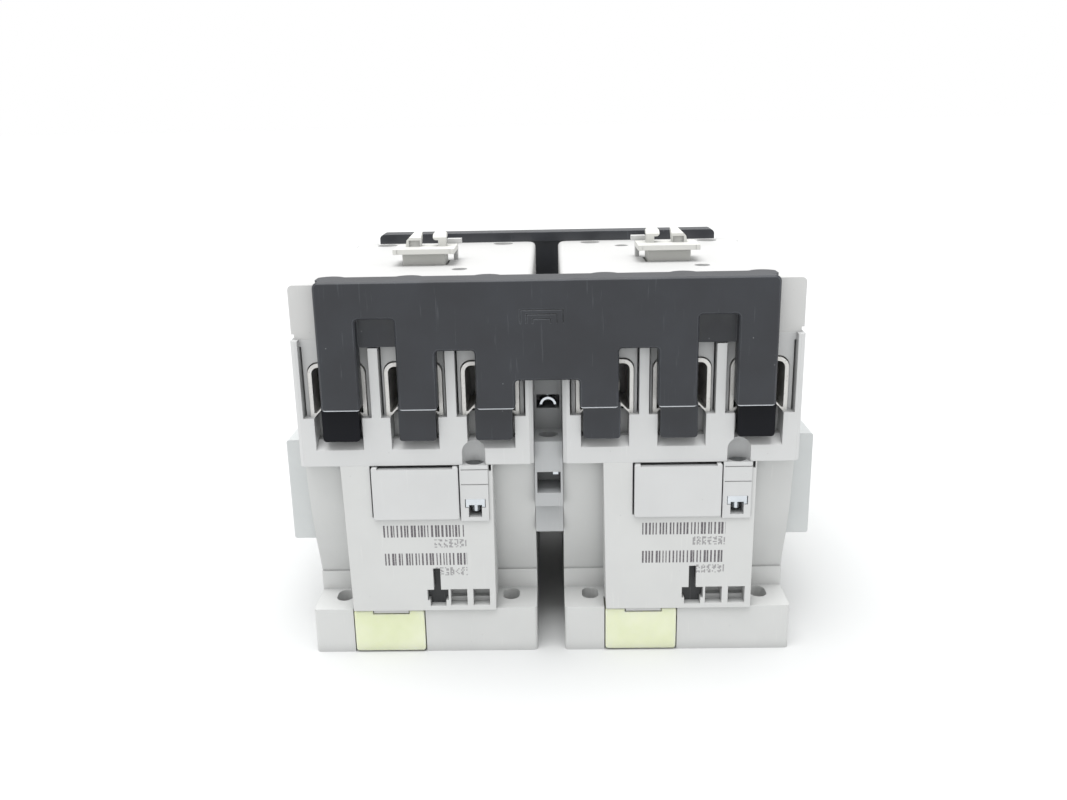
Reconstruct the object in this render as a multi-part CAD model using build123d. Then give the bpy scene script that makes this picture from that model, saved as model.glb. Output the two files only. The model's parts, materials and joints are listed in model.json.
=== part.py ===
from build123d import *
import math
import os

# Changeover switch: two three-pole contactors lying on their backs side by side,
# with a mechanical interlock between them and a moulded busbar across each end.
# X runs across the pair, Y from the load end to the line end, Z up from the mounting plane.
# All lengths are millimetres.

# driving dimensions
contactor_width = 72.0
contactor_offset = 40.5
half = contactor_width / 2
base_half_length = 60.0
base_height = 15.2
hole_pitch_x = 55.0
hole_pitch_y = 100.0
hole_radius = 2.7
wall = 2.5
split_height = 64.5
housing_half_length = 61.0
housing_top = 104.0
cover_half_length = 57.0
face_height = 118.4
pole_pitch = 23.2
travel = 4.0
running_gap = 0.1
screw_y = 50.0
contact_seat = 86.6
clamp_half_width = 8.7
clamp_bottom = 79.9
clamp_top = 96.6
tail_thickness = 3.0
tip_thickness = 1.5
core_top = 46.0
coil_screw_x = 17.6
bay_wall = 58.2
interlock_ledge = 70.0
upper_front = -42.8
upper_screw_y = -39.0
lower_screw_y = -48.3
cheek_height = 120.3
mould_front = 65.2
mould_top = 122.1
leg_half_width = 5.8
leg_offset = 1.9
mould_half_width = contactor_offset + pole_pitch - leg_offset + leg_half_width
cheek_inner = mould_half_width - contactor_offset + 0.3

poles = (-pole_pitch, 0.0, pole_pitch)
bays = ((-33.8, -12.9), (-10.0, 10.0), (12.9, 33.8))
screw_spots = [(x, sign * screw_y) for x in poles for sign in (-1, 1)]


def block(x0, x1, y0, y1, z0, z1):
    centre = Pos((x0 + x1) / 2, (y0 + y1) / 2, (z0 + z1) / 2)
    return centre * Box(abs(x1 - x0), abs(y1 - y0), abs(z1 - z0))


def rod(x, y, z0, z1, radius):
    return Pos(x, y, (z0 + z1) / 2) * Cylinder(radius, z1 - z0)


def rod_along_x(x0, x1, y, z, radius):
    return Pos((x0 + x1) / 2, y, z) * Rot(0, 90, 0) * Cylinder(radius, abs(x1 - x0))


def rod_along_y(x, y0, y1, z, radius):
    return Pos(x, (y0 + y1) / 2, z) * Rot(90, 0, 0) * Cylinder(radius, abs(y1 - y0))


def hexagon(x, y, z0, z1, across_flats):
    outline = RegularPolygon(across_flats / math.sqrt(3), 6)
    return Pos(x, y, z0) * extrude(outline, amount=z1 - z0)


def upright(points, y, depth):
    # an outline of X and Z points, from y towards the line end
    outline = make_face(Polyline(*[(x, y, z) for x, z in points], close=True))
    return extrude(outline, amount=depth, dir=(0, 1, 0))


def coil_spring(x, y, z0, z1, radius, wire, turns):
    path = Helix((z1 - z0 - 2 * wire) / turns, z1 - z0 - 2 * wire, radius)
    section = Plane(path @ 0, z_dir=path % 0) * Circle(wire)
    return Pos(x, y, z0 + wire) * sweep(section, path=path, is_frenet=True)


def separate(shapes):
    return Compound(children=[solid for shape in shapes for solid in shape.solids()])


def place(shape, side):
    return Pos(side * contactor_offset, 0, 0) * shape


def handed(shape, side):
    # the outer face of the left contactor points to -X, of the right one to +X
    return shape if side > 0 else mirror(shape, about=Plane.YZ)


def save(shape, name):
    export_step(shape, "parts/" + name + ".step")


# ---- base housing: foot block, magnet room and coil front ----

def side_outline(inset):
    front = [(-43.6, base_height), (-45.3, 24), (-49.5, 36), (-53.2, 50), (-54.5, 62)]
    near = [(0, y + inset, z) for y, z in front]
    far = [(0, -y - inset, z) for y, z in reversed(front)]
    top_near = (0, -54.5 + inset, split_height)
    top_far = (0, 54.5 - inset, split_height)
    edges = [Spline(*near), Line(near[-1], top_near), Line(top_near, top_far)]
    edges += [Line(top_far, far[0]), Spline(*far), Line(far[-1], near[0])]
    return make_face(edges)


def curved_body(inset, half_width):
    body = extrude(side_outline(inset), amount=half_width, dir=(1, 0, 0))
    return body + mirror(body, about=Plane.YZ)


def foot_block():
    body = block(-half, half, -base_half_length, base_half_length, 0, base_height)
    body = fillet(body.edges().filter_by(Axis.Z), 1.2)
    # rail groove with a fixed lip at the line end
    body -= block(-half - 1, half + 1, -18.0, 15.8, -1, 3.0)
    body -= block(-half - 1, half + 1, -18.0, 18.4, 3.0, 5.2)
    # channel, guide grooves and handle recess of the rail foot
    body -= block(-19.3, -4.0, -55, -17.9, -1, 6.3)
    body -= block(-20.6, -2.7, -52.8, -17.9, 2.15, 4.45)
    body -= block(-23.3, 0.0, -61, -52.7, -1, base_height + 0.1)
    body += block(-16.5, -5.3, -60.3, -52.7, 13.9, base_height)
    # post the foot spring pushes against
    body += block(-14.6, -8.7, -46.6, -44.6, 1.0, 6.4)
    # fixing holes, lengthened above the washer seat so that a screwdriver can lean
    for x in (-hole_pitch_x / 2, hole_pitch_x / 2):
        for y in (-hole_pitch_y / 2, hole_pitch_y / 2):
            body -= rod(x, y, -1, base_height + 1, hole_radius)
            for end in (y - 1.2, y + 1.2):
                body -= rod(x, end, 7, base_height + 1, hole_radius)
            body -= block(x - hole_radius, x + hole_radius, y - 1.2, y + 1.2, 7, base_height + 1)
    return body


def base_housing():
    body = foot_block() + curved_body(0, half)
    body += block(-half, half, -45.4, 45.4, base_height - 0.1, 21.8)
    low = base_height - 0.1
    body += upright([(-23.7, split_height), (23.2, split_height), (23.0, low), (-22.8, low)], -61, 21)
    # magnet room, then the room behind the coil front
    room = curved_body(wall, half - wall) & block(-half, half, -60, 60, 17, 70)
    body -= room
    body -= block(-20.7, 20.6, -58.5, -38, 24.5, split_height + 1)
    body -= block(-20.7, 20.6, -52.0, -38, 17.0, 24.6)
    # socket for the coil terminal and the snap-in cover
    body += block(-16.9, 23.1, -61, -48, 43.3, split_height)
    body -= block(-14.7, 12.9, -61.1, -50, 47.4, split_height + 1)
    body -= block(12.8, 21.8, -61.1, -50, 46.1, split_height + 1)
    body -= block(22.0, 22.8, -61.1, -56, 62.4, split_height + 1)
    # keyed slot and two small pockets at the foot of the coil front
    body -= latch_shape(0.1, -62, -54)
    for x in (8.6, 15.8):
        body -= block(x, x + 5.3, -62, -55.5, 18.3, 22.5)
        body -= block(x, x + 5.3, -62, -57.5, 16.8, 18.4)
    # slots for the arms of the contact carrier
    for y in (-12, 12):
        body -= block(-half - 1, -half + wall + 0.1, y - 2.7, y + 2.7, 55.4, split_height + 1)
        body -= block(half - wall - 0.1, half + 1, y - 2.7, y + 2.7, 55.4, split_height + 1)
    return body


def latch_shape(gap, y0, y1):
    shape = block(3.4 - gap, 5.5 + gap, y0, y1, 22.3, 29.7 + gap)
    shape += block(1.3 - gap, 7.8 + gap, y0, y1, 18.7, 22.3 + gap)
    return shape + block(2.1 - gap, 7.0 + gap, y0, y1, 16.6, 18.8)


def coil_latches():
    # black keys that lock the coil front to the foot block
    return separate([place(latch_shape(0, -58.2, -54), side) for side in (-1, 1)])


# ---- rail foot and its spring ----

def rail_foot():
    handle = block(-23.0, -0.3, -60.5, -53, 0.4, 14.9)
    handle = fillet(handle.edges().filter_by(Axis.Y), 1.0)
    handle = fillet(handle.edges().group_by(Axis.Y)[0], 0.5)
    handle -= block(-16.8, -5.0, -61, -52, 13.6, 15)
    body = handle + block(-19.0, -4.3, -53.5, -15.3, 0.5, 2.9)
    body += block(-19.0, -4.3, -53.5, -18.2, 0.5, 6.0)
    body += block(-20.3, -3.0, -52.9, -18.4, 2.4, 4.2)
    body -= block(-15.0, -8.3, -48.0, -28.0, -1, 7)
    return body


def foot_spring():
    coil = coil_spring(0, 0, 0, 16.6, 2.0, 0.35, 8)
    return Pos(-11.65, -44.6, 3.3) * Rot(-90, 0, 0) * coil


# ---- electromagnet ----

def magnet_core():
    body = block(-30, 30, -12, 12, 17, core_top)
    for side in (-1, 1):
        body -= block(side * 8, side * 22, -13, 13, 27, core_top + 1)
    for x in (-26, 0, 26):
        body -= rod_along_y(x, -13, 13, 21.5, 1.6)
    return body


def coil_bobbin():
    body = block(-21.4, 21.4, -27, 27, 27.0, 28.6)
    body += block(-21.4, 21.4, -27, 27, 44.2, 45.8)
    body += block(-9.6, 9.6, -13.6, 13.6, 27.0, 45.8)
    body -= block(-8.0, 8.0, -12.0, 12.0, 26, 47)
    return body


def coil_winding():
    body = block(-20.2, 20.2, -25.5, 25.5, 28.6, 44.2)
    body = fillet(body.edges().filter_by(Axis.Z), 5)
    return body - block(-9.6, 9.6, -13.6, 13.6, 27, 46)


def armature():
    bottom = core_top + travel + running_gap
    body = block(-30, 30, -12, 12, bottom, 60.4)
    body -= block(-22, 22, -13, 13, bottom - 1, bottom + 0.6)
    body += block(-8, 8, -12, 12, bottom, bottom + 0.7)
    return body - rod_along_y(0, -13, 13, 56.4, 2.03)


def armature_pin():
    return rod_along_y(0, -15.0, 15.0, 56.4, 2.0)


# ---- contact carrier with the moving contacts ----

def carrier():
    body = block(-30, 30, -15, 15, 60.4, 63.6)
    body += block(-6, 6, -24, 24, 60.4, 63.6)
    for y in (-12, 12):
        body += block(-38.4, 38.4, y - 2, y + 2, 60.4, 63.6)
    for side in (-1, 1):
        body += block(-6, 6, side * 12.2, side * 15.0, 53.4, 60.5)
    body -= rod_along_y(0, -16, 16, 56.4, 2.03)
    body += block(-8, 8, -5, 5, 63.6, 92.1)
    body += block(-31, 31, -6, 6, 92, 110)
    for x in poles:
        body -= block(x - 4.6, x + 4.6, -7, 7, 96.7, 106.7)
    # head that stands out of the front face, with its hooks
    body += block(-5.6, 9.0, -7.0, 4.5, 109.9, 122.6)
    head = block(-9.2, 11.8, -10.0, 5.0, 122.5, 124.2)
    head = fillet(head.edges().filter_by(Axis.Z), 0.8)
    body += head
    for x in (-9.2, 10.5):
        body += block(x, x + 1.3, -10.3, -8.5, 122.5, 124.2)
    body += upright([(3.2, 124.1), (8.4, 124.1), (8.0, 126.4), (5.5, 128.9), (2.7, 128.9)], -2.2, 4.4)
    body -= block(3.4, 7.2, -3, -1.4, 124.2, 126.3)
    body += block(-5.7, -3.0, -2.2, 2.2, 124.1, 127.0)
    cap = block(-5.9, -1.2, -2.2, 2.2, 126.3, 129.0)
    body += fillet(cap.edges().filter_by(Axis.Y), 1.1)
    # both hooks slope back from the load end
    slope = extrude(make_face(Polyline((-7, -2.3, 127.2), (-7, -2.3, 129.1), (-7, 0.4, 129.1), close=True)),
                    amount=16, dir=(1, 0, 0))
    return body - slope


def moving_bridges():
    shapes = []
    for x in poles:
        bar = block(x - 4, x + 4, -20.5, 20.5, 96.7, 98.7)
        for side in (-1, 1):
            bar += block(x - 3.5, x + 3.5, side * 14, side * 20, 95.2, 96.8)
        shapes.append(bar)
    return separate(shapes)


def contact_springs():
    return separate([coil_spring(x, 0, 98.7, 106.7, 3.0, 0.45, 5) for x in poles])


def return_springs():
    return separate([coil_spring(0, y, 45.8, 60.4, 3.4, 0.45, 6) for y in (-19.5, 19.5)])


# ---- fixed contacts, box clamps and their screws ----

def fixed_contacts():
    shapes = []
    top = contact_seat + tail_thickness
    for x in poles:
        bar = block(x - 4.5, x + 4.5, 13, 57.5, contact_seat, top)
        bar += block(x - 3.5, x + 3.5, 14, 20, top - 0.1, top + tip_thickness)
        shapes += [bar, mirror(bar, about=Plane.XZ)]
    return separate(shapes)


def clamp_section(inset, depth):
    # the bottom is pressed up in the middle, where it bites into the conductor
    side = clamp_half_width - inset
    low = clamp_bottom + inset
    high = clamp_top - inset
    foot = 7.4 - 0.4 * inset
    crest = 5.4 - 0.4 * inset
    points = [(-side, low), (-foot, low), (-crest, low + 2.1), (crest, low + 2.1), (foot, low), (side, low)]
    shape = upright(points + [(side, high), (-side, high)], -depth / 2, depth)
    return fillet(shape.edges().filter_by(Axis.Y).group_by(Axis.Z)[-1], 3.2 - inset)


def box_clamp():
    body = clamp_section(0, 18) - clamp_section(1.2, 20)
    return body - rod(0, 0, clamp_top - 3, clamp_top + 1, 3.35)


def clamp_screw():
    body = rod(0, 0, contact_seat + tail_thickness, clamp_top + 0.1, 3.3)
    body += rod(0, 0, clamp_top, clamp_top + 3.8, 3.8)
    body = chamfer(body.edges().group_by(Axis.Z)[-1], 0.4)
    return body - hexagon(0, 0, clamp_top + 0.6, clamp_top + 5, 4.0)


def at_every_terminal(shape):
    shapes = []
    for side in (-1, 1):
        shapes += [place(Pos(x, y, 0) * shape, side) for x, y in screw_spots]
    return separate(shapes)


# ---- terminal housing with the arc chambers ----

def arc_plates():
    shapes = []
    for x0, x1 in bays:
        centre = (x0 + x1) / 2
        for step in range(5):
            z = 93.0 + 2.3 * step
            plate = block(x0, x1, 24.0, 34.5, z, z + 1.0)
            plate -= block(centre - 2.5, centre + 2.5, 23, 29, z - 1, z + 2)
            shapes += [plate, mirror(plate, about=Plane.XZ)]
    return separate(shapes)


def terminal_housing(side):
    body = block(-half, half, -housing_half_length, housing_half_length, split_height, housing_top)
    body = chamfer(body.edges().filter_by(Axis.Z), 1.2)
    cuts = []
    for x0, x1 in bays:
        cuts.append(block(x0, x1, -35.5, 35.5, 67, 105))
    for (x0, x1), x in zip(bays, poles):
        # shallow bay with a slot along each partition, then the room of the clamp
        bay = block(x0, x1, -62, -bay_wall, clamp_bottom, 101.7)
        for slot in (x0, x1 - 0.5):
            bay += block(slot, slot + 0.5, -62, -54, clamp_bottom, 101.7)
        room = block(x - 8.9, x + 8.9, -62, -38.5, clamp_bottom, clamp_top + 0.3)
        bay += fillet(room.edges().filter_by(Axis.Y).group_by(Axis.Z)[-1], 3.2)
        bay += block(x - 4.6, x + 4.6, -39, -35, contact_seat, contact_seat + 3.1)
        # wire aperture below the clamp, with a sloping sill
        sill = Polyline((0, -62, 69.0), (0, -61, 69.7), (0, -57.5, 72.2), (0, -54, 72.2),
                        (0, -54, 80.5), (0, -62, 80.5), close=True)
        bay += extrude(make_face(sill), amount=7.3, dir=(1, 0, 0), both=True).moved(Pos(x, 0, 0))
        bay += rod(x, -screw_y, clamp_top - 1, 105, 4.3)
        cuts += [bay, mirror(bay, about=Plane.XZ)]
    for cut in cuts:
        body -= cut
    body -= block(-31.5, 31.5, -7, 7, 67, 105)
    body -= block(-8.4, 8.4, -5.4, 5.4, 64, 68)
    # the end wall steps back where the busbar moulding sits, less beside it
    for end in (-1, 1):
        body -= block(-side * 33.8, side * cheek_inner, end * cover_half_length, end * 62, 101.6, 105)
        body -= block(side * cheek_inner, side * 33.8, end * bay_wall, end * 62, 101.6, 105)
    for x in poles:
        pillar = block(x - 3, x + 3, 20, 36, 66.9, contact_seat)
        body += pillar
        body += mirror(pillar, about=Plane.XZ)
    # screwdriver path above the coil terminal
    body -= rod(coil_screw_x, -60.4, 64, 68.6, 3.6)
    body -= Pos(coil_screw_x, -60.4, 68.6) * Sphere(3.6)
    for x, y in cover_screw_spots(side):
        body -= rod(x, y, 92, 105, 1.25)
    return body


# ---- front cover ----

def cover_screw_spots(side):
    return ((11.5, -17.5), (-11.5, 38.0))


def front_cover(side):
    body = block(-half, half, -cover_half_length, cover_half_length, housing_top, face_height)
    body = fillet(body.edges().filter_by(Axis.Z), 4.0)
    body = fillet(body.edges().group_by(Axis.Z)[-1], 1.8)
    # cheeks beside the busbar mouldings, raised at the load end
    for end, top in ((-1, cheek_height), (1, face_height)):
        cheek = block(side * cheek_inner, side * half, end * 49, end * bay_wall, housing_top, top)
        body += fillet(cheek.edges().filter_by(Axis.Y).group_by(Axis.Z)[-1], 1.4)
    body -= block(-33.4, 33.4, -54.4, 54.4, 103, 116)
    for x, y in screw_spots:
        body += rod(x, y, housing_top, 116.5, 5.4) & block(-half, half, -55, 55, 100, 120)
    for x, y in screw_spots:
        body -= rod(x, y, 103, 120, 3.9)
    for x, y in cover_screw_spots(side):
        body += rod(x, y, housing_top, 116.5, 3.6)
        body -= rod(x, y, 113, 120, 2.6)
        body -= rod(x, y, 103, 114, 1.45)
    aperture = block(-6.3, 9.0, -7.3, 4.8, 110, 120)
    body -= handed(aperture, side)
    # shadow groove along the outer edges where the cover meets the housing
    for end in (-1, 1):
        body -= block(end * (half - 0.8), end * (half + 1), -60, 60, 103, 105.6)
    # fixed guide hook behind the moving head
    hook = block(-8.9, -7.5, 5.6, 8.6, face_height - 0.5, 125.8)
    hook += block(-8.9, -5.4, 5.6, 8.6, 123.7, 125.8)
    hook += block(-10.4, -8.8, 5.6, 8.6, 124.2, 125.8)
    return body + handed(hook, side)


def cover_screws():
    shapes = []
    for side in (-1, 1):
        for x, y in cover_screw_spots(side):
            screw = rod(x, y, 92.5, 113.1, 1.25) + rod(x, y, 113.0, 115.2, 2.3)
            screw -= block(x - 3, x + 3, y - 0.35, y + 0.35, 114.3, 116)
            screw -= block(x - 0.35, x + 0.35, y - 3, y + 3, 114.3, 116)
            shapes.append(place(screw, side))
    return separate(shapes)


# ---- coil terminal and the snap-in cover beside it ----

def coil_terminal():
    body = block(13.0, 21.8, -61.6, -50, 46.1, 64.5)
    body -= block(14.4, 20.8, -62, -53, 50.5, 53.4)
    body -= block(15.5, 19.6, -62, -53, 47.4, 50.6)
    for z in (58.05, 62.9):
        body -= block(13.5, 21.8, -62, -61.3, z, z + 0.3)
    body -= rod(coil_screw_x, -58.2, 60.0, 65, 2.7)
    return body - rod(coil_screw_x, -58.2, 48.2, 61, 1.4)


def coil_clamps():
    plate = block(14.6, 20.6, -61.2, -54, 51.3, 53.4) + block(14.6, 15.6, -61.2, -54, 50.6, 51.4)
    plate += block(19.6, 20.6, -61.2, -54, 50.6, 51.4)
    plate -= rod(coil_screw_x, -58.2, 50, 54, 1.4)
    return separate([place(plate, side) for side in (-1, 1)])


def coil_screws():
    screw = rod(coil_screw_x, -58.2, 48.6, 60.1, 1.3) + rod(coil_screw_x, -58.2, 60.0, 62.4, 2.5)
    screw -= block(coil_screw_x - 3, coil_screw_x + 3, -58.6, -57.8, 61.4, 63)
    return separate([place(screw, side) for side in (-1, 1)])


def snap_cover():
    body = block(-14.2, 12.6, -62.2, -60, 46.8, 64.2)
    body = fillet(body.edges().filter_by(Axis.Y), 0.7)
    body = fillet(body.edges().group_by(Axis.Y)[0], 0.4)
    # only a lip hangs over the coil front below the socket
    body -= block(-15, 13, -61.05, -59, 46, 47.6)
    body -= block(-12.4, 11.0, -63, -59.9, 63.5, 65)
    body += block(-13.4, 11.9, -60.1, -52, 48.0, 63.0)
    body -= block(-12.2, 10.7, -60, -51, 49.2, 61.8)
    for x in (-11, 7):
        body += block(x, x + 3, -60.1, -53, 47.4, 48.1)
    return body


# ---- side auxiliary block ----

def aux_housing():
    body = block(36, 45, -42, 42, 32.5, 67)
    body = fillet(body.edges().filter_by(Axis.Y).group_by(Axis.X)[-1], 0.8)
    body -= block(37.2, 43.8, -40.8, 40.8, 33.7, 65.8)
    for y in (-12, 12):
        body -= block(35, 37.3, y - 2.7, y + 2.7, 55.4, split_height)
    return body


def aux_slider():
    body = block(38.4, 43.2, -16, 16, 56.0, 63.6)
    body += block(39.0, 42.6, -30, 30, 48.0, 56.1)
    return body - block(39.9, 41.7, -28, 28, 50.0, 53.0)


# ---- mechanical interlock in the gap between the contactors ----

def interlock_shape():
    body = block(-4.4, 4.4, -56, 50, 38.4, interlock_ledge)
    body += block(-4.4, 4.4, upper_front, 50, interlock_ledge, 96)
    body -= block(-5, 5, -57, -52.5, 38, 48.5)
    body -= block(-3.7, 3.7, -57, -44, 53.0, 60.0)
    body -= block(-3.7, 3.7, upper_front - 1, upper_front + 10, 76.9, 81.5)
    # keel between the two foot blocks
    body += block(-4.2, 4.2, -27, 30, 8, 38.5)
    body += block(-2.5, 3.3, -30, -26.9, 8, 38.5)
    # rocker room and the openings for the carrier arms
    body -= block(-3.4, 3.3, -20, 20, 44, 66)
    for y in (-12, 12):
        body -= block(-5, 5, y - 2.7, y + 2.7, 55.4, 64.6)
    body -= rod_along_x(-4.0, 3.9, 0, 50, 1.5)
    # bores of the two terminal screws
    body -= rod(0, lower_screw_y, 65.0, 72, 3.0)
    body -= rod(0, lower_screw_y, 55, 66, 1.4)
    body -= rod(0, upper_screw_y, 88.0, 97, 2.4)
    body -= rod(0, upper_screw_y, 77, 89, 1.4)
    return body


def interlock_case():
    return interlock_shape() & block(-5, 3.3, -60, 60, 30, 100)


def interlock_lid():
    return interlock_shape() & block(3.3, 5, -60, 60, 30, 100)


def interlock_rocker():
    body = rod_along_x(-1.3, 1.3, 0, 50, 3.2)
    body += block(-1.3, 1.3, -14, 14, 48.8, 51.8)
    body += block(-3.1, 1.3, 10, 14, 48.8, 51.8)
    body += block(-1.3, 3.0, -14, -10, 48.8, 51.8)
    return body - rod_along_x(-2, 2, 0, 50, 1.55)


def interlock_pin():
    return rod_along_x(-4.0, 3.9, 0, 50, 1.5)


def interlock_clamps():
    # the upper one is a bowed strip, the lower one a plate with one long ear
    upper = rod_along_y(0, -42.2, -36, 77.8, 2.7) - rod_along_y(0, -43, -35, 77.8, 1.9)
    upper &= block(-3, 3, -43, -35, 78.0, 81)
    lower = block(-3.0, 3.0, -51.5, -45.5, 58.9, 60.0) - rod(0, lower_screw_y, 57, 61, 1.4)
    lower += block(1.3, 3.0, -55.2, -51.4, 58.9, 60.0)
    return separate([upper, lower])


def interlock_screws():
    shapes = []
    for y, seat, end in ((lower_screw_y, 65.0, 57.8), (upper_screw_y, 88.0, 80.6)):
        screw = rod(0, y, end, seat + 0.1, 1.3) + rod(0, y, seat, seat + 2.2, 2.2)
        shapes.append(screw - block(-3, 3, y - 0.35, y + 0.35, seat + 1.4, seat + 3))
    return separate(shapes)


# ---- busbar mouldings and their copper bars ----

def leg_centres():
    inner = [contactor_offset + x - leg_offset for x in poles]
    return [-x for x in reversed(inner)] + inner


def bar_leg(x, y0, y1, top):
    leg = block(x - 4, x + 4, y0, y1, contact_seat - 3, top)
    return leg + block(x - 4.4, x + 4.4, y0, -45, contact_seat - 3, contact_seat)


def nested_bar(index):
    # three brackets in one plane, the widest on top
    left = leg_centres()[index]
    right = leg_centres()[5 - index]
    top = 118.8 - 7.8 * index
    strip = block(left - 4, right + 4, -63.2, -61.2, top - 5.5, top)
    return strip + bar_leg(left, -63.2, -61.2, top) + bar_leg(right, -63.2, -61.2, top)


def straight_bar(index):
    # like poles joined, each bar in a plane of its own
    left = leg_centres()[index]
    right = leg_centres()[index + 3]
    y0 = -64.2 + 1.75 * index
    strip = block(left - 4, right + 4, y0, y0 + 1.2, 113.3, 118.8)
    return strip + bar_leg(left, y0, y0 + 1.2, 118.8) + bar_leg(right, y0, y0 + 1.2, 118.8)


def panel(x0, x1, z0, z1):
    return Pos((x0 + x1) / 2, (z0 + z1) / 2) * Rectangle(x1 - x0, z1 - z0)


def rounded_slab(z0, y0, y1):
    # full width, with both top corners rounded
    outline = panel(-mould_half_width, mould_half_width, z0, mould_top)
    outline = fillet(outline.vertices().group_by(Axis.Y)[-1], 1.8)
    return extrude(Plane.XZ * outline, amount=y1 - y0, dir=(0, 1, 0)).moved(Pos(0, y0, 0))


def busbar_moulding(bars, lobes):
    outline = panel(-mould_half_width, mould_half_width, 101.3, mould_top)
    outline += panel(-10.0, 10.0, 92.0, 103)
    for x in leg_centres():
        outline += panel(x - leg_half_width, x + leg_half_width, 83.2, 103)
    outer, middle = leg_centres()[0], leg_centres()[1]
    window = (outer + leg_half_width, middle - leg_half_width)
    outline -= panel(window[0], window[1], 100, 111) + panel(-window[1], -window[0], 100, 111)
    outline = fillet(outline.vertices().group_by(Axis.Y)[-1], 1.8)
    outline = fillet([corner for corner in outline.vertices() if corner.Y < mould_top - 3], 1.1)
    body = extrude(Plane.XZ * outline, amount=4.0, dir=(0, 1, 0)).moved(Pos(0, -mould_front, 0))
    body = chamfer(body.faces().sort_by(Axis.Y)[0].edges(), 0.5)
    # rear layer, legs and the sealing tongues below them
    body += rounded_slab(102, -61.3, -cover_half_length)
    for x in leg_centres():
        body += block(x - 5.7, x + 5.7, -61.3, -59.3, 84.0, 102.1)
        middle = x + math.copysign(0.9, x)
        tongue = block(middle - 5.6, middle + 5.6, -62.4, -59.3, 72.9, 84.1)
        body += fillet(tongue.edges().filter_by(Axis.Y).group_by(Axis.Z)[0], 1.0)
    for side in (-1, 1):
        body -= block(side * 4.2, side * 7.0, -61.2, -56.9, 101, 104.2)
    # lip over the front cover, at the load end with a lobe at every terminal screw
    body += rounded_slab(face_height, -57.1, -55.6)
    if lobes:
        for side in (-1, 1):
            for x in poles:
                lobe = rod(side * contactor_offset + x, -58.0, face_height, mould_top, 4.5)
                body += lobe & block(-mould_half_width, mould_half_width, -64, -53, face_height, mould_top)
    body = cut_diagram(body)
    for bar in bars:
        body -= bar
    return body


def cut_diagram(body):
    # three nested brackets, the scheme of the bars inside
    for index in range(3):
        reach = 6.4 - 1.8 * index
        top = 113.4 - 1.3 * index
        line = block(-1.3 - reach, -1.3 + reach, -66, -64.95, top - 0.35, top)
        line += block(-1.3 - reach, -0.95 - reach, -66, -64.95, 109.2, top)
        line += block(-1.65 + reach, -1.3 + reach, -66, -64.95, 109.2, top)
        body -= line
    return body


def build():
    os.makedirs("parts", exist_ok=True)
    base = base_housing()
    foot = rail_foot()
    rail_spring = foot_spring()
    core = magnet_core()
    bobbin = coil_bobbin()
    winding = coil_winding()
    plunger = armature()
    cross_pin = armature_pin()
    moving = carrier()
    bridges = moving_bridges()
    pressure = contact_springs()
    lifting = return_springs()
    fixed = fixed_contacts()
    plates = arc_plates()
    terminal = coil_terminal()
    blank = snap_cover()
    aux = aux_housing()
    slider = aux_slider()
    for side, name in ((-1, "left"), (1, "right")):
        save(place(base, side), name + "_base_housing")
        save(place(foot, side), name + "_rail_foot")
        save(place(rail_spring, side), name + "_foot_spring")
        save(place(core, side), name + "_magnet_core")
        save(place(bobbin, side), name + "_coil_bobbin")
        save(place(winding, side), name + "_coil_winding")
        save(place(plunger, side), name + "_armature")
        save(place(cross_pin, side), name + "_armature_pin")
        save(place(handed(moving, side), side), name + "_carrier")
        save(place(bridges, side), name + "_bridges")
        save(place(pressure, side), name + "_contact_springs")
        save(place(lifting, side), name + "_return_springs")
        save(place(fixed, side), name + "_fixed_contacts")
        save(place(plates, side), name + "_arc_plates")
        save(place(terminal_housing(side), side), name + "_terminal_housing")
        save(place(front_cover(side), side), name + "_front_cover")
        save(place(terminal, side), name + "_coil_terminal")
        save(place(blank, side), name + "_snap_cover")
        save(place(handed(aux, side), side), name + "_aux_housing")
        save(place(handed(slider, side), side), name + "_aux_slider")
    save(at_every_terminal(box_clamp()), "box_clamps")
    save(at_every_terminal(clamp_screw()), "clamp_screws")
    save(cover_screws(), "cover_screws")
    save(coil_clamps(), "coil_clamps")
    save(coil_screws(), "coil_screws")
    save(coil_latches(), "coil_latches")
    save(interlock_case(), "interlock_case")
    save(interlock_lid(), "interlock_lid")
    save(interlock_rocker(), "interlock_rocker")
    save(interlock_pin(), "interlock_pin")
    save(interlock_clamps(), "interlock_clamps")
    save(interlock_screws(), "interlock_screws")
    load_bars = [nested_bar(index) for index in range(3)]
    line_bars = [straight_bar(index) for index in range(3)]
    save(busbar_moulding(load_bars, lobes=True), "load_moulding")
    save(mirror(busbar_moulding(line_bars, lobes=False), about=Plane.XZ), "line_moulding")
    for bar, name in zip(load_bars, ("outer", "middle", "inner")):
        save(bar, "load_bar_" + name)
    for bar, name in zip(line_bars, ("one", "two", "three")):
        save(mirror(bar, about=Plane.XZ), "line_bar_" + name)


build()
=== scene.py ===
import bpy
import json
import math
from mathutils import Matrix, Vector

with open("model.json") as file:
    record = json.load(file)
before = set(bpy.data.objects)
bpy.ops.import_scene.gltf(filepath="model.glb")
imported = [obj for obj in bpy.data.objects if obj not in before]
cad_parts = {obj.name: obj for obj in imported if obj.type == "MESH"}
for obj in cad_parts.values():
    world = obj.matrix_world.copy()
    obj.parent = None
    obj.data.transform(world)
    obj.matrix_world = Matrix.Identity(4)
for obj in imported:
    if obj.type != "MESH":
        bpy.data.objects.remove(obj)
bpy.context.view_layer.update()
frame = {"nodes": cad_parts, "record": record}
print("frame loaded")

mm = 0.001


# ---- camera ----

cameraLook = {
    "place": (1.7 * mm, -346.2 * mm, 166.6 * mm),
    "turn": (74.017, 1.106, 0.873),   # degrees, X then Y then Z
    "lens": 33.26,
    "sensor": 36.0,
}


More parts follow.
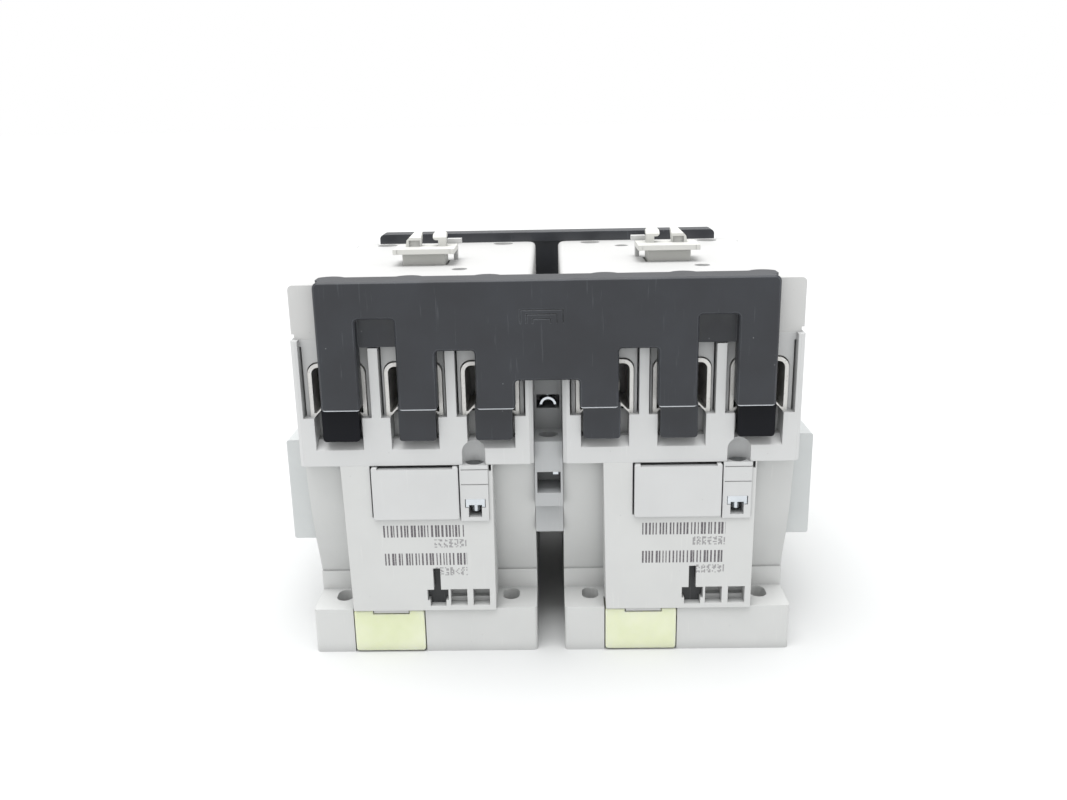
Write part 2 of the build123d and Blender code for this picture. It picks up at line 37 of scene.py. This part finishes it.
def setCamera():
    cameraData = bpy.data.cameras.new("camera")
    cameraData.sensor_fit = "HORIZONTAL"
    cameraData.sensor_width = cameraLook["sensor"]
    cameraData.lens = cameraLook["lens"]
    cameraData.clip_start = 0.01
    camera = bpy.data.objects.new("camera", cameraData)
    camera.location = cameraLook["place"]
    camera.rotation_euler = [math.radians(a) for a in cameraLook["turn"]]
    bpy.context.scene.collection.objects.link(camera)
    bpy.context.scene.camera = camera


setCamera()
print("camera set")


# ---- floor and light ----

studio = {
    "sky": "ffffff", "skyStrength": 1.0,
    "floorColour": "cdcece", "floorSize": 40.0,
    "sunPower": 2.75, "sunSpread": 50.0,       # watts per square metre, degrees
    "sunFrom": (-0.10, -0.16, 1.0),
}


def toLinear(hexText):
    values = [int(hexText[i:i + 2], 16) / 255 for i in (0, 2, 4)]
    return tuple(v / 12.92 if v <= 0.04045 else ((v + 0.055) / 1.055) ** 2.4 for v in values) + (1.0,)


def addNode(tree, kind, settings=None, links=None):
    node = tree.nodes.new(kind)
    for name, value in (settings or {}).items():
        if isinstance(name, int) or name in node.inputs:
            node.inputs[name].default_value = value
        else:
            setattr(node, name, value)
    for name, source in (links or {}).items():
        tree.links.new(source, node.inputs[name])
    return node


def newMaterial(name):
    material = bpy.data.materials.new(name)
    material.use_nodes = True
    material.node_tree.nodes.clear()
    return material, material.node_tree


def setStudio():
    world = bpy.data.worlds.new("studio")
    world.use_nodes = True
    world.node_tree.nodes["Background"].inputs["Color"].default_value = toLinear(studio["sky"])
    world.node_tree.nodes["Background"].inputs["Strength"].default_value = studio["skyStrength"]
    bpy.context.scene.world = world
    bpy.context.scene.view_settings.view_transform = "Standard"
    lightData = bpy.data.lights.new("topLight", "SUN")
    lightData.energy = studio["sunPower"]
    lightData.angle = math.radians(studio["sunSpread"])
    light = bpy.data.objects.new("topLight", lightData)
    light.rotation_euler = Vector(studio["sunFrom"]).to_track_quat("Z", "Y").to_euler()
    bpy.context.scene.collection.objects.link(light)


def makeFloor():
    bpy.ops.object.select_all(action="DESELECT")
    bpy.ops.mesh.primitive_plane_add(size=studio["floorSize"], location=(0, 0, 0))
    floor = bpy.context.object
    floor.name = "floor"
    material, tree = newMaterial("matt white paper floor")
    paper = {"Base Color": toLinear(studio["floorColour"]), "Roughness": 1.0, "Specular IOR Level": 0.0}
    shader = addNode(tree, "ShaderNodeBsdfPrincipled", paper)
    addNode(tree, "ShaderNodeOutputMaterial", links={"Surface": shader.outputs[0]})
    floor.data.materials.append(material)


setStudio()
makeFloor()
print("floor and light set")


# ---- materials ----

def addMask(tree, value, start, end, strength=1.0):
    # nothing at the start value, the full strength at the end one; either may be the larger
    settings = {"From Min": start, "From Max": end, "To Max": strength}
    return addNode(tree, "ShaderNodeMapRange", settings, {"Value": value}).outputs[0]


def addMath(tree, operation, first, second=None, value=None):
    node = addNode(tree, "ShaderNodeMath", {"operation": operation}, {0: first})
    if second is not None:
        tree.links.new(second, node.inputs[1])
    if value is not None:
        node.inputs[1].default_value = value
    return node.outputs[0]


def addTint(tree, mask, plain, colour):
    node = addNode(tree, "ShaderNodeMix", {"data_type": "RGBA"}, {0: mask, 6: plain})
    node.inputs[7].default_value = toLinear(colour)
    return node.outputs[2]


plasticLook = {
    "grain": 0.35, "relief": 0.012,           # mm, the spark-eroded texture of the mould
    "roughness": (0.42, 0.56),
    "cloud": 14.0, "mottle": 0.35,            # mm across a cloud, strength
    "edge": 0.25, "edgeTone": "e6e6e4", "edgeWear": 0.35,
    "scuffWidth": 0.9, "scuffTone": "e2e2e0", "scuff": 0.12,
    "speckPitch": 3.2, "speckTone": "6f6d68", "speck": 0.3,
    # painted shade: the colour darkens in hollows, corners and between parts
    "recess": 0.45, "paintedShadeTone": "5d5f60", "reach": 5.0,   # hollows are darker within this many mm
    "specular": 0.5, "glow": 0.0, "glowDepth": 2.5,
}


def mouldedPlastic(name, colour, shade, **changes):
    # fine mould grain, cloudy tone, paler edges that are partly rubbed wear and partly painted highlight,
    # faint drag marks, a few specks of dust, and painted shade that darkens the hollows
    look = dict(plasticLook, **changes)
    material, tree = newMaterial(name)
    place = addNode(tree, "ShaderNodeTexCoord").outputs["Object"]
    cloud = addNode(tree, "ShaderNodeTexNoise", {"Scale": 1 / (look["cloud"] * mm), "Detail": 4.0},
                    {"Vector": place}).outputs["Fac"]
    tone = addNode(tree, "ShaderNodeMix", {"data_type": "RGBA"})
    tone.inputs[6].default_value = toLinear(colour)
    tone.inputs[7].default_value = toLinear(shade)
    tree.links.new(addMask(tree, cloud, 0.35, 0.7, look["mottle"]), tone.inputs[0])
    settings = {"Scale": 1 / (look["grain"] * mm), "Detail": 2.0, "Roughness": 0.6}
    fine = addNode(tree, "ShaderNodeTexNoise", settings, {"Vector": place}).outputs["Fac"]
    bevel = addNode(tree, "ShaderNodeBevel", {"samples": 4, "Radius": look["edge"] * mm})
    rounded = bevel.outputs[0]
    true = addNode(tree, "ShaderNodeNewGeometry").outputs["True Normal"]
    bend = addNode(tree, "ShaderNodeVectorMath", {"operation": "DOT_PRODUCT"}, {0: rounded, 1: true})
    # paler edges: partly rubbed wear and partly a painted highlight along the edges
    edge = addMask(tree, bend.outputs["Value"], 0.99, 0.90, look["edgeWear"])
    rubbedAndHighlit = addMath(tree, "MULTIPLY", edge, addMask(tree, cloud, 0.3, 0.6))
    wornAndHighlit = addTint(tree, rubbedAndHighlit, tone.outputs[2], look["edgeTone"])
    stretch = {"Rotation": (0.2, 0.5, 0.3), "Scale": (1.0, 1.0, 0.06)}
    drag = addNode(tree, "ShaderNodeMapping", stretch, {"Vector": place})
    lines = addNode(tree, "ShaderNodeTexNoise", {"Scale": 1 / (look["scuffWidth"] * mm), "Detail": 3.0},
                    {"Vector": drag.outputs[0]})
    scuff = addMask(tree, lines.outputs["Fac"], 0.66, 0.72, look["scuff"])
    scuffed = addTint(tree, scuff, wornAndHighlit, look["scuffTone"])
    cells = addNode(tree, "ShaderNodeTexVoronoi", {"Scale": 1 / (look["speckPitch"] * mm)}, {"Vector": place})
    near = addMask(tree, cells.outputs["Distance"], 0.055, 0.035)
    parts = addNode(tree, "ShaderNodeSeparateColor", links={0: cells.outputs["Color"]}).outputs
    chosen = addMask(tree, parts[0], 0.7, 0.72)
    speck = addMath(tree, "MULTIPLY", addMath(tree, "MULTIPLY", near, chosen), value=look["speck"])
    specked = addTint(tree, speck, scuffed, look["speckTone"])
    # painted shade: an occlusion mask darkens the colour in hollows, corners and between parts
    hollow = addNode(tree, "ShaderNodeAmbientOcclusion", {"samples": 6, "Distance": look["reach"] * mm})
    paintedShadeMask = addMask(tree, hollow.outputs["AO"], 0.85, 0.2, look["recess"])
    withPaintedShade = addTint(tree, paintedShadeMask, specked, look["paintedShadeTone"])
    settings = {"To Min": look["roughness"][0], "To Max": look["roughness"][1]}
    gloss = addNode(tree, "ShaderNodeMapRange", settings, {"Value": fine})
    bump = addNode(tree, "ShaderNodeBump", {"Strength": 0.5, "Distance": look["relief"] * mm},
                   {"Height": fine, "Normal": rounded})
    shader = addNode(tree, "ShaderNodeBsdfPrincipled", {"IOR": 1.5, "Specular IOR Level": look["specular"]},
                     {"Base Color": withPaintedShade, "Roughness": gloss.outputs[0], "Normal": bump.outputs[0]})
    if look["glow"]:
        shader.inputs["Subsurface Weight"].default_value = look["glow"]
        shader.inputs["Subsurface Radius"].default_value = (1.0, 1.0, 0.6)
        shader.inputs["Subsurface Scale"].default_value = look["glowDepth"] * mm
    addNode(tree, "ShaderNodeOutputMaterial", links={"Surface": shader.outputs[0]})
    return material


metalLook = {
    "roughness": (0.22, 0.42),
    "streak": 0.6, "patch": 5.0, "grit": 0.4, "edge": 0.15,   # mm
    "gritTone": "77746e", "dulling": 0.4,
}


def platedMetal(name, colour, shade, **changes):
    # bright plating over pressed metal: long faint rolling marks, soft patches and fine dull specks
    look = dict(metalLook, **changes)
    material, tree = newMaterial(name)
    place = addNode(tree, "ShaderNodeTexCoord").outputs["Object"]
    stretch = addNode(tree, "ShaderNodeMapping", {"Scale": (1.0, 0.08, 1.0)}, {"Vector": place})
    lines = addNode(tree, "ShaderNodeTexNoise", {"Scale": 1 / (look["streak"] * mm), "Detail": 3.0},
                    {"Vector": stretch.outputs[0]})
    patch = addNode(tree, "ShaderNodeTexNoise", {"Scale": 1 / (look["patch"] * mm), "Detail": 2.0},
                    {"Vector": place})
    tone = addNode(tree, "ShaderNodeMix", {"data_type": "RGBA"}, {0: patch.outputs["Fac"]})
    tone.inputs[6].default_value = toLinear(colour)
    tone.inputs[7].default_value = toLinear(shade)
    grit = addNode(tree, "ShaderNodeTexNoise", {"Scale": 1 / (look["grit"] * mm), "Detail": 2.0},
                   {"Vector": place})
    dull = addMask(tree, grit.outputs["Fac"], 0.62, 0.72, look["dulling"])
    dulled = addTint(tree, dull, tone.outputs[2], look["gritTone"])
    settings = {"To Min": look["roughness"][0], "To Max": look["roughness"][1]}
    gloss = addNode(tree, "ShaderNodeMapRange", settings, {"Value": lines.outputs["Fac"]})
    rounded = addNode(tree, "ShaderNodeBevel", {"samples": 4, "Radius": look["edge"] * mm})
    bump = addNode(tree, "ShaderNodeBump", {"Strength": 0.3, "Distance": 0.01 * mm},
                   {"Height": lines.outputs["Fac"], "Normal": rounded.outputs[0]})
    shader = addNode(tree, "ShaderNodeBsdfPrincipled", {"Metallic": 1.0},
                     {"Base Color": dulled, "Roughness": gloss.outputs[0], "Normal": bump.outputs[0]})
    addNode(tree, "ShaderNodeOutputMaterial", links={"Surface": shader.outputs[0]})
    return material


inkBars = {
    "rows": ((40.6, 44.6), (31.0, 35.1)),     # height of each row of bars, mm
    "dotRows": ((37.0, 39.8), (27.4, 30.2)),  # height of the small blocks of dots below, mm
    "middle": 40.5, "front": -60.9,           # mm, middle of a contactor and plane of the coil front
    "across": (-11.7, 14.3), "dotsFrom": 4.2,  # mm from the middle of the contactor
    "pitch": 1.08, "dot": 0.42, "spray": 0.25,  # mm
    "ink": "4e484e", "dotStrength": 0.6,
}


def between(tree, value, low, high):
    above = addMath(tree, "GREATER_THAN", value, value=low * mm)
    return addMath(tree, "MULTIPLY", above, addMath(tree, "LESS_THAN", value, value=high * mm))


def addInkBars(material):
    # a dotted ink-jet code on the coil front, random bars and blocks of dots that carry no number
    tree = material.node_tree
    place = addNode(tree, "ShaderNodeTexCoord").outputs["Object"]
    axes = addNode(tree, "ShaderNodeSeparateXYZ", links={0: place}).outputs
    side = addMath(tree, "SIGN", axes[0])
    across = addMath(tree, "ADD", axes[0], addMath(tree, "MULTIPLY", side, value=-inkBars["middle"] * mm))
    # every 9 mm of height has a pattern of its own
    row = addMath(tree, "MULTIPLY", addMath(tree, "SNAP", axes[2], value=9 * mm), value=7310.0)
    seed = addMath(tree, "ADD", row, side)
    # one bar of random width in every step of the pitch
    count = addMath(tree, "MULTIPLY", across, value=1 / (inkBars["pitch"] * mm))
    key = addNode(tree, "ShaderNodeCombineXYZ", links={0: addMath(tree, "FLOOR", count), 1: seed})
    random = addNode(tree, "ShaderNodeTexWhiteNoise", {"noise_dimensions": "3D"}, {0: key.outputs[0]})
    parts = addNode(tree, "ShaderNodeSeparateColor", links={0: random.outputs["Color"]}).outputs
    local = addMath(tree, "FRACT", count)
    start = addMath(tree, "MULTIPLY", parts[0], value=0.34)
    width = addMath(tree, "MULTIPLY", parts[1], value=0.36)
    stop = addMath(tree, "ADD", addMath(tree, "ADD", start, value=0.3), width)
    begun = addMath(tree, "GREATER_THAN", local, start)
    bars = addMath(tree, "MULTIPLY", begun, addMath(tree, "LESS_THAN", local, stop))
    bars = addMath(tree, "MULTIPLY", bars, between(tree, across, *inkBars["across"]))
    rows = [between(tree, axes[2], low, high) for low, high in inkBars["rows"]]
    bars = addMath(tree, "MULTIPLY", bars, addMath(tree, "ADD", rows[0], rows[1]))
    # small blocks, three dots wide with a gap of one dot
    column = addMath(tree, "FLOOR", addMath(tree, "MULTIPLY", across, value=1 / (inkBars["dot"] * mm)))
    level = addMath(tree, "FLOOR", addMath(tree, "MULTIPLY", axes[2], value=1 / (inkBars["dot"] * mm)))
    key = addNode(tree, "ShaderNodeCombineXYZ", links={0: column, 1: level, 2: side})
    random = addNode(tree, "ShaderNodeTexWhiteNoise", {"noise_dimensions": "3D"}, {0: key.outputs[0]})
    dots = addMath(tree, "GREATER_THAN", random.outputs["Value"], value=0.42)
    gap = addMath(tree, "GREATER_THAN", addMath(tree, "FLOORED_MODULO", column, value=4.0), value=0.5)
    dots = addMath(tree, "MULTIPLY", dots, gap)
    dots = addMath(tree, "MULTIPLY", dots, between(tree, across, inkBars["dotsFrom"], inkBars["across"][1]))
    rows = [between(tree, axes[2], low, high) for low, high in inkBars["dotRows"]]
    dots = addMath(tree, "MULTIPLY", dots, addMath(tree, "ADD", rows[0], rows[1]))
    front = addMath(tree, "LESS_THAN", axes[1], value=inkBars["front"] * mm)
    dots = addMath(tree, "MULTIPLY", dots, value=inkBars["dotStrength"])
    mask = addMath(tree, "MULTIPLY", addMath(tree, "ADD", bars, dots), front)
    spray = addNode(tree, "ShaderNodeTexNoise", {"Scale": 1 / (inkBars["spray"] * mm), "Detail": 1.0},
                    {"Vector": place})
    fade = addNode(tree, "ShaderNodeMapRange", {"From Min": 0.3, "From Max": 0.5, "To Min": 0.5},
                   {"Value": spray.outputs["Fac"]})
    mask = addMath(tree, "MULTIPLY", mask, fade.outputs[0])
    shader = next(n for n in tree.nodes if n.type == "BSDF_PRINCIPLED")
    printed = addTint(tree, mask, shader.inputs["Base Color"].links[0].from_socket, inkBars["ink"])
    tree.links.new(printed, shader.inputs["Base Color"])


# painted highlight and painted shade on the black moulding: a pale line at the leg ends and darker outermost
# tongues
mouldingPaintedHighlightAndShade = {
    "legEnd": (83.1, 83.6), "legFront": 64.6, "highlightLineTone": "c9cdd2",   # mm
    "tongueFoot": 60.0, "outerFrom": 55.0, "outerShadeTone": "15161a",     # mm
    "sheen": (0.5, 0.12),
}


def addMouldingPaintedHighlightAndShade(material):
    # a painted highlight as a pale line along the end of every leg, and painted shade making the outermost
    # tongues darker; they are also duller than the rest
    tree = material.node_tree
    place = addNode(tree, "ShaderNodeTexCoord").outputs["Object"]
    axes = addNode(tree, "ShaderNodeSeparateXYZ", links={0: place}).outputs
    shader = next(n for n in tree.nodes if n.type == "BSDF_PRINCIPLED")
    sideways = addMath(tree, "ABSOLUTE", axes[0])
    # painted shade: the outermost tongues are tinted darker
    out = addMath(tree, "GREATER_THAN", sideways, value=mouldingPaintedHighlightAndShade["outerFrom"] * mm)
    below = between(tree, axes[2], mouldingPaintedHighlightAndShade["tongueFoot"], mouldingPaintedHighlightAndShade["legEnd"][0])
    tongue = addMath(tree, "MULTIPLY", out, below)
    plain = shader.inputs["Base Color"].links[0].from_socket
    dark = addTint(tree, tongue, plain, mouldingPaintedHighlightAndShade["outerShadeTone"])
    # painted highlight: a pale line along the end of each leg
    line = between(tree, axes[2], *mouldingPaintedHighlightAndShade["legEnd"])
    outward = addMath(tree, "ABSOLUTE", axes[1])
    front = addMath(tree, "GREATER_THAN", outward, value=mouldingPaintedHighlightAndShade["legFront"] * mm)
    withPaintedHighlight = addTint(tree, addMath(tree, "MULTIPLY", line, front), dark, mouldingPaintedHighlightAndShade["highlightLineTone"])
    tree.links.new(withPaintedHighlight, shader.inputs["Base Color"])
    settings = {"To Min": mouldingPaintedHighlightAndShade["sheen"][0], "To Max": mouldingPaintedHighlightAndShade["sheen"][1]}
    sheen = addNode(tree, "ShaderNodeMapRange", settings, {"Value": tongue})
    tree.links.new(sheen.outputs[0], shader.inputs["Specular IOR Level"])


greyPolyamide = mouldedPlastic("grey moulded polyamide", "c8c9c8", "bfc0bf")
addInkBars(greyPolyamide)
sidePolyamide = mouldedPlastic("cool grey moulded polyamide", "c5c8c8", "bcbfbf")
lightPolyamide = mouldedPlastic("light grey moulded polyamide", "c6c7c7", "bdbebe")
whitePolyamide = mouldedPlastic("off-white moulded polyamide", "c5c5c4", "bdbebd")
carrierPolyester = mouldedPlastic("white glass-filled polyester", "cfcfcb", "c4c4be", grain=0.5)
interlockPolyamide = mouldedPlastic("mid grey moulded polyamide", "aeb0b1", "a1a3a5")
blackPolyamide = mouldedPlastic("black glass-filled polyamide", "24262b", "2d3036",
                                grain=0.3, relief=0.03, roughness=(0.38, 0.55), mottle=0.6,
                                edge=0.4, edgeTone="6b6f75", edgeWear=0.6, scuffTone="5a5e64",
                                scuff=0.22, speckTone="8e9194", speck=0.7)
addMouldingPaintedHighlightAndShade(blackPolyamide)
bobbinPolyamide = mouldedPlastic("black coil former polyamide", "1c1d1f", "26282a", edgeTone="55575a")
footPolyacetal = mouldedPlastic("natural yellow-green polyacetal", "e0e4ca", "d2d9b0",
                                relief=0.005, glow=0.6, roughness=(0.26, 0.36), mottle=0.8,
                                edgeTone="eef1d8")
nickelSteel = platedMetal("nickel-plated steel", "e4e3e0", "cfcecb", roughness=(0.45, 0.62))
brightSteel = platedMetal("bright zinc-plated steel", "e2e6ea", "c3c9cf", roughness=(0.14, 0.26))
zincSteel = platedMetal("zinc-plated steel", "d2d4d6", "b4b8bc")
laminatedSteel = platedMetal("ground silicon steel laminations", "8a8b8d", "707275", roughness=(0.35, 0.5))
springSteel = platedMetal("bright spring steel wire", "b4b6b8", "9a9da0")
silverCopper = platedMetal("silver-plated contact copper", "c9c6c0", "aeaba5")
tinnedCopper = platedMetal("tinned copper bar", "b4b6b8", "989b9e", roughness=(0.3, 0.45))
enamelledWire = platedMetal("enamelled copper winding", "7d3d1d", "5f2c14",
                            roughness=(0.3, 0.45), streak=0.4)

slotFinish = {
    "base_plastic": greyPolyamide,
    "housing_plastic": lightPolyamide,
    "cover_plastic": whitePolyamide,
    "side_block_plastic": sidePolyamide,
    "foot_plastic": footPolyacetal,
    "carrier_plastic": carrierPolyester,
    "bobbin_plastic": bobbinPolyamide,
    "winding_wire": enamelledWire,
    "lamination_steel": laminatedSteel,
    "spring_steel": springSteel,
    "contact_copper": silverCopper,
    "bar_copper": tinnedCopper,
    "moulding_plastic": blackPolyamide,
    "plated_steel": zincSteel,
    "clamp_steel": nickelSteel,
    "screw_steel": zincSteel,
    "interlock_plastic": interlockPolyamide,
}

nodeFinish = {"coil_clamps": brightSteel, "coil_screws": brightSteel, "interlock_clamps": brightSteel}

for part in frame["record"]["subparts"]:
    node = frame["nodes"][part["node"]]
    finish = nodeFinish.get(part["node"], slotFinish[part["material_slot"]])
    if not node.material_slots:
        node.data.materials.append(finish)
    for holder in node.material_slots:
        holder.material = finish
print("materials assigned")
